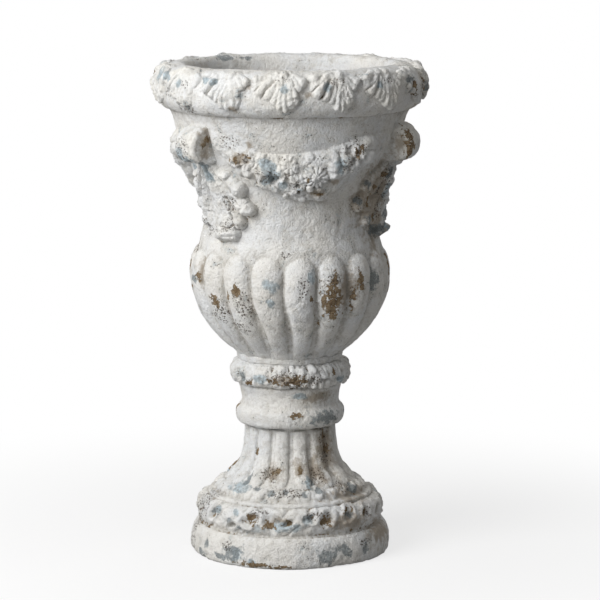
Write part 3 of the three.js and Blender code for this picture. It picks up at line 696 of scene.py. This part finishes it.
def acanthus(name, middle):
    """A leaf that hangs under a bracket, with long flutes, scalloped edges and curled ends."""
    degrees, runs = neck_patch(middle, 34, 37, 375, 486)

    def build(columns, rows):
        x = np.radians(columns - middle) * neck_wall.radius_at(rows)
        y = neck_wall.height_at(rows)
        wobble = place(110, columns, y)
        x = x + 1.5 * noise(wobble, 14, 51)
        y = y + 1.5 * noise(wobble + 40, 14, 52)
        leaf = Relief(x, y)
        heights, left, right = np.array(LEAF_EDGES).T
        left, right = np.interp(y, heights, left), np.interp(y, heights, right)
        blade = 1 - ((2 * x - left - right) / (right - left)) ** 2
        leaf.join(domed(np.where(y < LEAF_EDGES[0][0], -1, blade), 10.5, 0.3), 1)
        root_x, root_y = 2, 492
        away = np.hypot(x - root_x, y - root_y)
        fan = np.arctan2(x - root_x, root_y - y) - 0.0045 * (x - root_x)
        folds = np.full(x.shape, -1.6)
        for turn, wide, high in (
            (0.1, 0.12, 4.6), (-0.22, 0.06, 3.4), (-0.45, 0.07, 3.6), (-0.75, 0.08, 2.5),
            (0.36, 0.06, 2.6), (0.58, 0.07, 2.8), (0.9, 0.09, 2.5),
        ):
            folds = np.maximum(folds, high * bell(fan - turn, wide) - 1.6)
        for turn in (-0.56, -0.335, -0.1, 0.25, 0.47, 0.75):
            folds = folds - 3.6 * bell(fan - turn, 0.03) * ease(away, 72, 62)
        leaf.height += ease(away, 2, 16) * folds * (leaf.height > 2)
        for tip, radius, high in (
            ((40, 450), 9, 13.5), ((45, 427), 9, 14.5), ((34, 409), 8, 13.5), ((-35, 451), 8, 9.5),
            ((-39, 428), 8.5, 10), ((-24, 408), 8, 10), ((27, 466), 4.5, 11),
            ((-25, 465), 4.5, 10.5),
        ):
            inner = np.array(tip) + 0.5 * (np.array((2, 480)) - tip)
            leaf.lobe(inner, tip, 2.2 * radius, high - 0.5, 0.55, 0.1, 0.06, 1.5)
            leaf.mound(*tip, radius, high, 0.36, 2.5)
        seam = y - 401.5 - 0.1 * x + 2.2 * np.sin(x / 2.6)
        leaf.height -= 3.5 * bell(seam, 2) * ease(x, 8, 18) * ease(x, 36, 30)
        curl = 1 - ((x - 16) / 17) ** 2 - ((y - 392.3 - 0.2 * (x - 16)) / 7.4) ** 2
        leaf.join(domed(curl, 17, 0.45), 0.8)
        leaf.lobe((3, 484), (13, 402), 8, 14.5, 0.9)
        leaf.lobe((9, 484), (26, 422), 6.5, 14, 0.9)
        slots = np.zeros(x.shape)
        for at_x, at_y, lean, long, wide in (
            (-8, 470, 0.1, 8, 1.3), (8, 466, 0.3, 10, 1.4), (33, 438, 0.6, 4, 2),
            (27, 417, 0.3, 4, 2), (-29, 439, -0.5, 4, 1.8), (21, 442, 0, 2, 2), (-12, 420, 0, 2, 2),
        ):
            side = (x - at_x) - lean * (at_y - y)
            slots = np.maximum(slots, bell(side, wide) * bell(y - at_y, long, 4))
        lump = 0.8 * rough(wobble, 7, 2, 53) + 0.5 * noise(wobble, 3.2, 54)
        lump = np.where(leaf.height > 2, lump, 0)
        leaf.height = leaf.height - 5 * slots * (leaf.height > 1) + lump
        return leaf

    return relief_piece(name, neck_wall, degrees, runs, build)


GARLAND_LOW = [(-53, 500), (-46, 484), (-34, 464), (-22, 451), (-12.6, 442), (-3, 438), (6.2, 438)]
GARLAND_LOW += [(13, 443), (19, 452), (25, 465), (35, 478), (45, 488), (53, 502)]
GARLAND_HIGH = [(-53, 518), (-47, 519), (-31, 500), (-24, 496), (-13, 494), (-1, 496), (10.5, 499)]
GARLAND_HIGH += [(18.4, 506), (27.5, 512), (38, 513), (47, 517), (53, 519)]


def rosette(relief, x, y, radius, high, petals, turn, heart):
    """Petals about a button. A heart under 0 is a hole in its place."""
    away = np.hypot(relief.x - x, relief.y - y) / radius
    spin = np.arctan2(relief.y - y, relief.x - x) - math.radians(turn)
    gap = (0.5 - 0.5 * np.cos(petals * spin)) ** 3
    share = 1 - (away / (1 - 0.16 * gap)) ** 2
    cut = np.where(share > 0, 1 - 0.35 * ease(away, 0.1, 0.5) * gap, 1)
    relief.join(domed(share, high, 0.4) * cut, 0.7)
    relief.height = relief.height + heart * bell(away, 0.3, 4) - bell(away - 0.4, 0.08)


def garland(name, middle):
    """A swag of rosettes, leaves and berries from one bracket to the next."""
    degrees, runs = neck_patch(middle, 51.3, 51.3, 432, 525)

    def build(columns, rows):
        turn = columns - middle
        mm = math.radians(1) * 125
        y = neck_wall.height_at(rows)
        wobble = place(125, columns, y)
        bend_x = turn * mm + 1.8 * noise(wobble, 10, 61)
        bend_y = y + 1.8 * noise(wobble + 40, 10, 62)
        swag = Relief(bend_x, bend_y)
        low = np.interp(turn, *np.array(GARLAND_LOW).T)
        high = np.interp(turn, *np.array(GARLAND_HIGH).T)
        across = (bend_y - (low + high) / 2) / ((high - low) / 2)
        rope = 4.5 + 9.5 * ease(np.abs(turn), 47, 30)
        swag.join(domed(1 - across**2, rope, 0.42) * (1 - 0.4 * ease(across, -0.1, 0.95)), 1.5)
        carving = Relief(bend_x, bend_y)

        def at(degree, height):
            return np.array([degree * mm, height])

        for degree, height, radius, stand, petals, spin, heart in (
            (-38, 485, 8, 3.5, 9, 0, -4), (-30.5, 489, 8, 3.5, 8, 20, -3),
            (4, 472, 14, 4.5, 13, 5, 0.6), (-9, 484, 10, 3, 9, 40, -1.5),
            (26, 497, 9, 3.5, 7, 50, -6), (-23.5, 488, 8, 2.5, 7, 10, -2),
            (-5.5, 468, 8, 2.5, 7, 0, -2), (25, 479, 8, 3, 6, 30, -2),
        ):
            rosette(carving, *at(degree, height), radius, stand, petals, spin, heart)
        for first, last, width, stand in (
            ((-36, 476), (-37.5, 468), 12, 4.5), ((-31.5, 479), (-29.5, 470), 13, 5),
            ((-36, 466), (-22, 457), 10, 4), ((-22, 483), (-19, 474), 17, 5.5),
            ((-14, 478), (-13, 466), 12, 5), ((-23, 463), (-15, 452), 14, 5),
            ((-25, 474), (-24, 466), 10, 4), ((-2, 462), (-8, 449), 9, 3.5),
            ((5, 486), (15, 493), 17, 4), ((31, 488), (37, 496), 16, 3),
            ((28, 505), (37, 509), 14, 2.5),
        ):
            carving.lobe(at(*first), at(*last), width, stand, 0.65, 0, 0.08, 0.8)
        for degree, height, radius, stand in (
            (-11, 446, 4.5, 3.5), (-7, 452, 4, 3), (-2, 442, 4.5, 3.5), (1.5, 457, 5, 4.5),
            (-3, 458, 4.5, 3.5), (7, 456, 4, 3.5), (9, 447, 4, 3.5), (1, 492, 5, 2.5),
        ):
            carving.mound(*at(degree, height), radius, stand, 0.45, 0.6)
        swag.height += np.clip(carving.height, -0.8, 8) * ease(swag.height, -1, 4)
        swag.join(carving.height * 2 - 2, 1.0)
        swag.lobe(at(22, 463), at(4, 443), 20, 16, 0.6, 0, 0.04, 0.8)
        swag.lobe(at(18.5, 496), at(15.5, 468), 20, 19, 0.6, 0, 0.08, 0.8)
        for degree, height, radius in (
            (13.5, 482, 9), (14, 473, 8.5), (18.5, 478, 9), (19, 489, 8.5),
        ):
            swag.mound(*at(degree, height), radius, 17.5, 0.4, 3)
        lump = 0.9 * rough(wobble, 6, 2, 67) + 0.4 * noise(wobble, 2.4, 68)
        swag.height = swag.height + np.where(swag.height > 3, lump, 0)
        for degree, height, radius, depth in (
            (-17.5, 466.5, 4.6, 8), (-15, 470, 3.2, 6), (-25.5, 459, 2.6, 4), (-34, 481, 2.4, 4),
            (-5, 461, 2.6, 6), (-4.5, 453, 2.2, 5), (4, 459, 2, 4), (11.5, 466, 2.6, 6),
            (23, 488, 2.4, 5), (29, 491, 2.2, 4), (22.5, 501, 2, 4),
        ):
            away = np.hypot(bend_x - degree * mm, bend_y - height)
            swag.height = swag.height - depth * bell(away, radius, 4) * (swag.height > 3)
        swag.height = np.where(np.abs(turn) > 50.6, BURIED, swag.height)
        return swag

    return relief_piece(name, neck_wall, degrees, runs, build)


def rim_leaf(name, middle):
    """A ribbed fan on the roll, with fat lobes on its left and short curled ones on its right."""
    runs = np.linspace(1, 60.5, 78)
    degrees = middle + np.linspace(-14, 10.5, 90)

    def build(columns, rows):
        y = rows - 52.5
        wobble = place(158, columns, y)
        x = np.radians(columns - middle) * 158 + 2.2 * noise(wobble, 14, 71)
        y = y + 2.0 * noise(wobble + 40, 14, 72)
        leaf = Relief(x, y)
        leaf.lobe((2, 3), (3, -41), 34, 6.2, 0.75)
        leaf.lobe((-5, 2), (-31, -24), 32, 6.2, 0.8)
        leaf.lobe((8, 1), (20, -17), 24, 5.6, 0.7)
        for base, tip, width, high in (
            ((2, 1), (3, -42), 8, 7), ((0, 1), (-5, -40), 8.5, 7), ((4, 1), (10, -35), 8, 6.8),
            ((-2, 1), (-12, -33), 8.5, 6.9), ((6, 1), (15, -27), 8, 6.6),
            ((-6, 1), (-19, -29), 11, 7.8), ((-10, 2), (-29, -24), 12, 9),
            ((-13, 3), (-35, -8), 11, 8), ((8, 1), (20, -18), 9, 6.6), ((9, 2), (24, -8), 9, 6.4),
        ):
            leaf.lobe(base, tip, width, high, 0.7, 0, 0, 0.9)
        for berry in ((1, -1, 8, 7), (-9, 0, 7, 6.4), (22, -8, 5.5, 7), (-32, -4, 6, 6)):
            leaf.mound(*berry)
        for run, fall, gap in ((0.62, -18, 1.5), (1.35, -24, 1.4)):
            side = x + 7 - run * y
            leaf.height -= 4.5 * bell(side, gap) * bell(y - fall, 12, 4) * (leaf.height > 1)
        wear = ease(noise(wobble, 24, 74), -0.75, 0.35)
        lump = 0.8 * rough(wobble, 6, 2, 75)
        leaf.height = np.where(leaf.height > 0, leaf.height * (0.6 + 0.4 * wear) + lump, leaf.height)
        return leaf

    return relief_piece(name, roll_wall, degrees, runs, build)


# Places on the brackets where the paint is worn: (layer, middle, across, out, height, reach)
BRACKET_STAINS = [
    ("thin", 300, 20, 136, 506, 20), ("thin", 300, 20, 140, 490, 10),
    ("chips", 300, 18, 137, 509, 5), ("chips", 300, 18, 143, 500, 3),
    ("thin", 60, -18, 146, 500, 14), ("chips", 60, -16, 158, 509, 11),
    ("chips", 60, -16, 159, 498, 11), ("chips", 60, -14, 157, 488, 8),
    ("chips", 60, -14, 147, 525, 5), ("chips", 180, 6, 158, 505, 9),
    ("pitted", 300, -6, 158, 496, 22), ("washes", 300, -10, 156, 488, 12),
    ("washes", 300, -2, 154, 482, 10), ("flakes", 300, 13, 144, 479, 6),
    ("flakes", 300, 0, 151, 481, 6), ("flakes", 300, -12, 153, 483, 6),
]


def bracket(name, middle):
    """A block on the neck with a rounded front, a flat underside and softened flanks."""
    low, high, half, edge, front = 478, 523.5, 17.5, 7, 159
    nose = [(118, low), (141, low), (152, low + 4), (157.5, low + 12), (front, low + 21)]
    nose += [(157, low + 30), (151.5, low + 38), (144, low + 43), (134, high), (128, high)]
    back = through([nose[-1], (124, 508), (117, 490), nose[0]], 1.6)
    ring = np.concatenate([through(nose, 1.0)[:-1], back[:-1]])
    ring = ring[: len(ring) // 2 * 2]  # an even number, so that quads can close the ends
    centre = np.array([136.0, 501.0])
    flank = np.array([0.04, 0.2, 0.36, 0.5, 0.62, 0.72, 0.79])
    sections = [(-half, share) for share in flank]
    for across in np.linspace(-half, half, 40):
        inward = min(1, max(0, (abs(across) - (half - edge)) / edge))
        sections.append((across, 1 - 0.18 * (1 - math.sqrt(1 - inward**2))))
    sections += [(half, share) for share in flank[::-1]]
    out, side = (place(1, turn, 0)[:2] for turn in (middle, middle + 90))
    rows = []
    for across, share in sections:
        spots = centre + (ring - centre) * share
        rows.append(np.concatenate([spots[:, :1] * out + across * side, spots[:, 1:]], 1))
    grid = np.array(rows)
    wraps = (False, True)
    face = -normals(grid, wraps)
    cast = grid + face * (rough(grid, 14, 3, 81) + 0.6 * noise(grid, 3.5, 83))[..., None]
    turn = np.degrees(np.arctan2(cast[..., 0], -cast[..., 1]))
    layers = wear_layers(cast, turn, cast_depth(cast, face, 2, wraps) / 1.2)
    for layer, owner, across, proud, height, reach in BRACKET_STAINS:
        if owner == middle:
            away = np.linalg.norm(cast - [*(proud * out + across * side), height], axis=-1)
            layers[layer] = np.maximum(layers[layer], 1 - away / reach)
    count, around = grid.shape[:2]
    quads = [ring_faces(count, around)[: (count - 1) * around, [0, 3, 2, 1]]]
    for k in range(around // 2 - 1):
        cap = np.array([[k, k + 1, around - 2 - k, around - 1 - k]])
        quads += [cap, cap[:, ::-1] + (count - 1) * around]
    return mesh_object(name, cast.reshape(-1, 3), np.concatenate(quads), layers)


# Paint


class Nodes:
    """A short way to write a material's nodes, with colours as (red, green, blue)."""

    def __init__(self, material):
        material.use_nodes = True
        self.tree = material.node_tree
        self.tree.nodes.clear()

    def add(self, kind, inputs=None, **settings):
        node = self.tree.nodes.new(kind)
        for key, value in settings.items():
            setattr(node, key, value)
        for key, value in (inputs or {}).items():
            if isinstance(value, bpy.types.NodeSocket):
                self.tree.links.new(value, node.inputs[key])
            else:
                colour = isinstance(value, tuple)
                node.inputs[key].default_value = (*value, 1) if colour else value
        return node

    def maths(self, operation, *values):
        return self.add("ShaderNodeMath", dict(enumerate(values)), operation=operation).outputs[0]

    def times(self, first, second):
        return self.maths("MULTIPLY", first, second)

    def plus(self, first, second):
        return self.maths("ADD", first, second)

    def minus(self, first, second):
        return self.maths("SUBTRACT", first, second)

    def most(self, first, second):
        return self.maths("MAXIMUM", first, second)

    def swing(self, field, reach):
        """A field from 0 to 1, turned into one from minus to plus half the reach."""
        return self.times(self.minus(field, 0.5), reach)

    def layer(self, name):
        return self.add("ShaderNodeAttribute", attribute_name=name).outputs["Fac"]

    def noise(self, where, scale, detail=3.0, roughness=0.55):
        inputs = {"Vector": where, "Scale": scale, "Detail": detail, "Roughness": roughness}
        return self.add("ShaderNodeTexNoise", inputs).outputs["Fac"]

    def dots(self, where, scale):
        inputs = {"Vector": where, "Scale": scale}
        return self.add("ShaderNodeTexVoronoi", inputs, feature="F1").outputs["Distance"]

    def between(self, value, low, high):
        inputs = {"Value": value, "From Min": low, "From Max": high}
        return self.add("ShaderNodeMapRange", inputs, interpolation_type="SMOOTHSTEP").outputs[0]

    def seen(self):
        """1 where the camera looks, straight or by way of a mirror or glass, and 0 elsewhere."""
        rays = self.add("ShaderNodeLightPath").outputs
        straight = self.most(rays["Is Camera Ray"], rays["Is Glossy Ray"])
        return self.most(straight, rays["Is Transmission Ray"])

    def blend(self, share, first, second):
        inputs = {0: share, 6: first, 7: second}
        return self.add("ShaderNodeMix", inputs, data_type="RGBA").outputs[2]


def chalk_paint(name, wash=1.0, pits=1.0, warmth=0.0):
    """Chalky white paint, chipped to brown, washed blue grey, pitted, with dirt and painted shade in
    the hollows.
    """
    material = bpy.data.materials.new(name)
    n = Nodes(material)
    where = n.add("ShaderNodeTexCoord").outputs["Object"]
    broad = n.noise(where, 14)
    patchy = n.noise(where, 55)
    flaky = n.noise(where, 130, 5.0, 0.65)
    fine = n.noise(where, 260, 4.0, 0.6)
    plaster = n.noise(where, 420, 3.0, 0.5)
    grain = n.noise(where, 1100, 3.0, 0.65)

    warm = (0.82, 0.805, 0.77 - warmth)
    cool = (0.79, 0.80, 0.805)
    paint = n.blend(n.between(broad, 0.38, 0.62), warm, cool)
    thin = n.between(n.plus(patchy, n.times(fine, 0.35)), 0.62, 0.84)
    paint = n.blend(n.times(thin, 0.5), paint, (0.62, 0.59, 0.53))
    paint = n.blend(n.times(n.between(plaster, 0.47, 0.3), 0.35), paint, (0.50, 0.47, 0.42))
    paint = n.blend(n.times(n.between(grain, 0.5, 0.72), 0.2), paint, (0.42, 0.40, 0.36))

    sheer = n.plus(n.layer("thin"), n.swing(flaky, 2.6))
    sheer = n.times(n.between(sheer, -0.15, 0.75), 0.85)
    bared = n.blend(fine, (0.25, 0.195, 0.14), (0.44, 0.385, 0.31))
    paint = n.blend(sheer, paint, bared)

    clusters = n.between(n.plus(n.layer("pitted"), n.swing(patchy, 1.6)), 0.0, 0.6)
    # Hollows darkened by dirt and painted shade, browner where pitted
    dirt_and_shade = n.times(n.layer("hollow"), n.between(fine, 0.2, 0.6))
    dirt_and_shade_colour = n.blend(clusters, (0.40, 0.375, 0.33), (0.26, 0.21, 0.155))
    paint = n.blend(n.times(dirt_and_shade, 0.7), paint, dirt_and_shade_colour)

    blue_field = n.plus(n.layer("washes"), n.swing(flaky, 2.2))
    stray = n.times(n.between(n.plus(patchy, n.times(grain, 0.25)), 0.74, 0.88), 0.5 * wash)
    blue = n.most(n.times(n.between(blue_field, 0.1, 0.55), 0.8), stray)
    tint = n.blend(n.between(fine, 0.4, 0.6), (0.46, 0.56, 0.62), (0.30, 0.35, 0.37))
    paint = n.blend(blue, paint, tint)

    grey_field = n.plus(n.layer("flakes"), n.swing(flaky, 3.4))
    grey = n.between(grey_field, 0.0, 0.5)
    dark, light = (0.115, 0.13, 0.133), (0.33, 0.37, 0.385)
    undercoat = n.blend(n.between(grain, 0.4, 0.6), dark, light)
    paint = n.blend(n.times(grey, 0.85), paint, undercoat)

    ragged = n.plus(n.swing(flaky, 3.6), n.swing(fine, 1.2))
    chip = n.between(n.plus(n.layer("chips"), ragged), 0.14, 0.22)
    casting = n.blend(n.between(fine, 0.4, 0.6), (0.18, 0.122, 0.066), (0.31, 0.24, 0.155))
    casting = n.blend(n.times(n.between(grain, 0.52, 0.36), 0.7), casting, (0.07, 0.045, 0.03))
    paint = n.blend(chip, paint, casting)

    anywhere = n.times(n.between(patchy, 0.5, 0.7), 0.6)
    amount = n.times(n.most(clusters, anywhere), pits)
    # More pin holes in the hollows, which darkens them further: pits and painted shade together
    amount = n.most(amount, n.times(n.layer("hollow"), n.plus(0.25, n.times(clusters, 0.65))))
    dots = n.plus(n.dots(where, 330), n.swing(grain, 0.9))
    pit = n.between(n.minus(n.times(amount, 0.32), dots), -0.05, 0.03)
    specks = n.between(n.minus(n.times(amount, 0.27), n.dots(where, 700)), -0.05, 0.02)
    pit = n.most(pit, n.times(specks, 0.8))
    paint = n.blend(n.times(pit, 0.9), paint, (0.10, 0.075, 0.055))

    height = n.plus(n.times(plaster, 1.5), n.times(fine, 1.6))
    height = n.plus(height, n.times(grain, 0.55))
    height = n.minus(height, n.times(n.most(chip, n.times(grey, 0.6)), 0.9))
    height = n.minus(height, n.times(pit, 0.8))
    bump = n.add("ShaderNodeBump", {"Strength": 1.0, "Distance": 0.001, "Height": height})
    inputs = {"Base Color": paint, "Roughness": 0.93, "Specular IOR Level": 0.25}
    inputs["Normal"] = bump.outputs[0]
    shader = n.add("ShaderNodeBsdfPrincipled", inputs)
    n.add("ShaderNodeOutputMaterial", {"Surface": shader.outputs[0]})
    return material


# Stage, light and camera

CAMERA_TURN = -9
CAMERA_DISTANCE, CAMERA_HEIGHT = 3.495, 0.865
CAMERA_PITCH = 9.13
FOCAL_PIXELS, FRAME_PIXELS = 2945, 600
AXIS_LEFT_OF_MIDDLE = 10.2  # pixels
LIGHT_AIM = Vector((0, 0, 0.32))
FLOOR_REACH = 20000


def placed(name, data, distance, turn, height):
    """A camera or lamp, put in the scene."""
    item = bpy.data.objects.new(name, data)
    bpy.context.scene.collection.objects.link(item)
    item.location = place(distance, turn, height).tolist()
    return item


def make_camera():
    camera = bpy.data.cameras.new("camera")
    camera.sensor_width = 36
    camera.lens = 36 * FOCAL_PIXELS / FRAME_PIXELS
    item = placed("camera", camera, CAMERA_DISTANCE, CAMERA_TURN, CAMERA_HEIGHT)
    turn = math.radians(CAMERA_TURN) - math.atan(AXIS_LEFT_OF_MIDDLE / FOCAL_PIXELS)
    item.rotation_euler = (math.radians(90 - CAMERA_PITCH), 0, turn)
    bpy.context.scene.camera = item


def make_light(name, turn, height, distance, size, watts):
    lamp = bpy.data.lights.new(name, "AREA")
    lamp.shape = "DISK"
    lamp.size = size
    lamp.energy = watts
    item = placed(name, lamp, distance, turn, height)
    item.rotation_euler = (LIGHT_AIM - item.location).to_track_quat("-Z", "Y").to_euler()


def make_stage():
    """White paper that takes the urn's shadow, and fades to plain white farther off."""
    corners = np.array([(-1.0, -1, 0), (1, -1, 0), (1, 1, 0), (-1, 1, 0)]) * FLOOR_REACH
    floor = mesh_object("floor", corners, np.array([[0, 1, 2, 3]]), {})
    material = bpy.data.materials.new("floor_paper")
    n = Nodes(material)
    where = n.add("ShaderNodeTexCoord").outputs["Object"]
    away = n.add("ShaderNodeVectorMath", {0: where}, operation="LENGTH").outputs["Value"]
    near = n.add("ShaderNodeBsdfDiffuse", {"Color": (0.9, 0.9, 0.9)})
    white = n.add("ShaderNodeEmission", {"Color": (1, 1, 1), "Strength": 1.0})
    share = n.plus(0.72, n.times(n.between(away, 0.2, 0.8), 0.28))
    paper = n.add("ShaderNodeMixShader", {0: share, 1: near.outputs[0], 2: white.outputs[0]})
    dim = n.add("ShaderNodeBsdfDiffuse", {"Color": (0.38, 0.38, 0.38)})
    shader = n.add("ShaderNodeMixShader", {0: n.seen(), 1: dim.outputs[0], 2: paper.outputs[0]})
    n.add("ShaderNodeOutputMaterial", {"Surface": shader.outputs[0]})
    floor.data.materials.append(material)


def make_world():
    """White where the camera sees it, and otherwise a dim light from all round."""
    world = bpy.data.worlds.new("studio")
    n = Nodes(world)
    dim = n.add("ShaderNodeBackground", {0: (1.0, 0.985, 0.96), 1: 0.215})
    white = n.add("ShaderNodeBackground", {0: (1, 1, 1), 1: 1.0})
    inputs = {0: n.seen(), 1: dim.outputs[0], 2: white.outputs[0]}
    n.add("ShaderNodeOutputWorld", {0: n.add("ShaderNodeMixShader", inputs).outputs[0]})
    bpy.context.scene.world = world


paints = {
    "worn_paint": chalk_paint("worn_paint"),
    "ornament_paint": chalk_paint("ornament_paint", wash=1.4, pits=0.9, warmth=0.01),
    "mortar": chalk_paint("mortar", wash=0.3, pits=1.2, warmth=0.02),
}


def dress(item, node, slot):
    """The piece takes its CAD node's place."""
    item.data.materials.append(paints[slot])
    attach(item, "root")
    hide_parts(node)


make_camera()
make_world()
make_stage()
make_light("key_softbox", CAMERA_TURN - 48, height=1.4, distance=1.9, size=1.5, watts=45)
make_light("ceiling_bounce", CAMERA_TURN - 20, height=2.4, distance=0.8, size=1.8, watts=6.5)
make_light("back_edge_light", CAMERA_TURN + 140, height=1.2, distance=2.4, size=0.8, watts=7)

dress(bowl(), "bowl", "worn_paint")
dress(collar(), "collar", "worn_paint")
dress(pedestal(), "pedestal", "worn_paint")
dress(mortar("upper_bed", 61, 39, 234.75, 237.05, 5, 91), "upper_mortar", "mortar")
dress(mortar("lower_bed", 51, 39, 154.15, 156.45, 0, 93), "lower_mortar", "mortar")
for number in (1, 2, 3):
    middle = 120 * number - 60
    dress(bracket(f"bracket_block_{number}", middle), f"scroll_bracket_{number}", "ornament_paint")
    dress(acanthus(f"hanging_leaf_{number}", middle), f"acanthus_leaf_{number}", "ornament_paint")
for number in (1, 2, 3):
    dress(garland(f"swag_{number}", 120 * number - 120), f"garland_{number}", "ornament_paint")
for number in range(1, 16):
    leaf = rim_leaf(f"palmette_{number:02d}", 24 * number - 12)
    dress(leaf, f"rim_leaf_{number:02d}", "ornament_paint")
bpy.context.scene.view_settings.view_transform = "Standard"
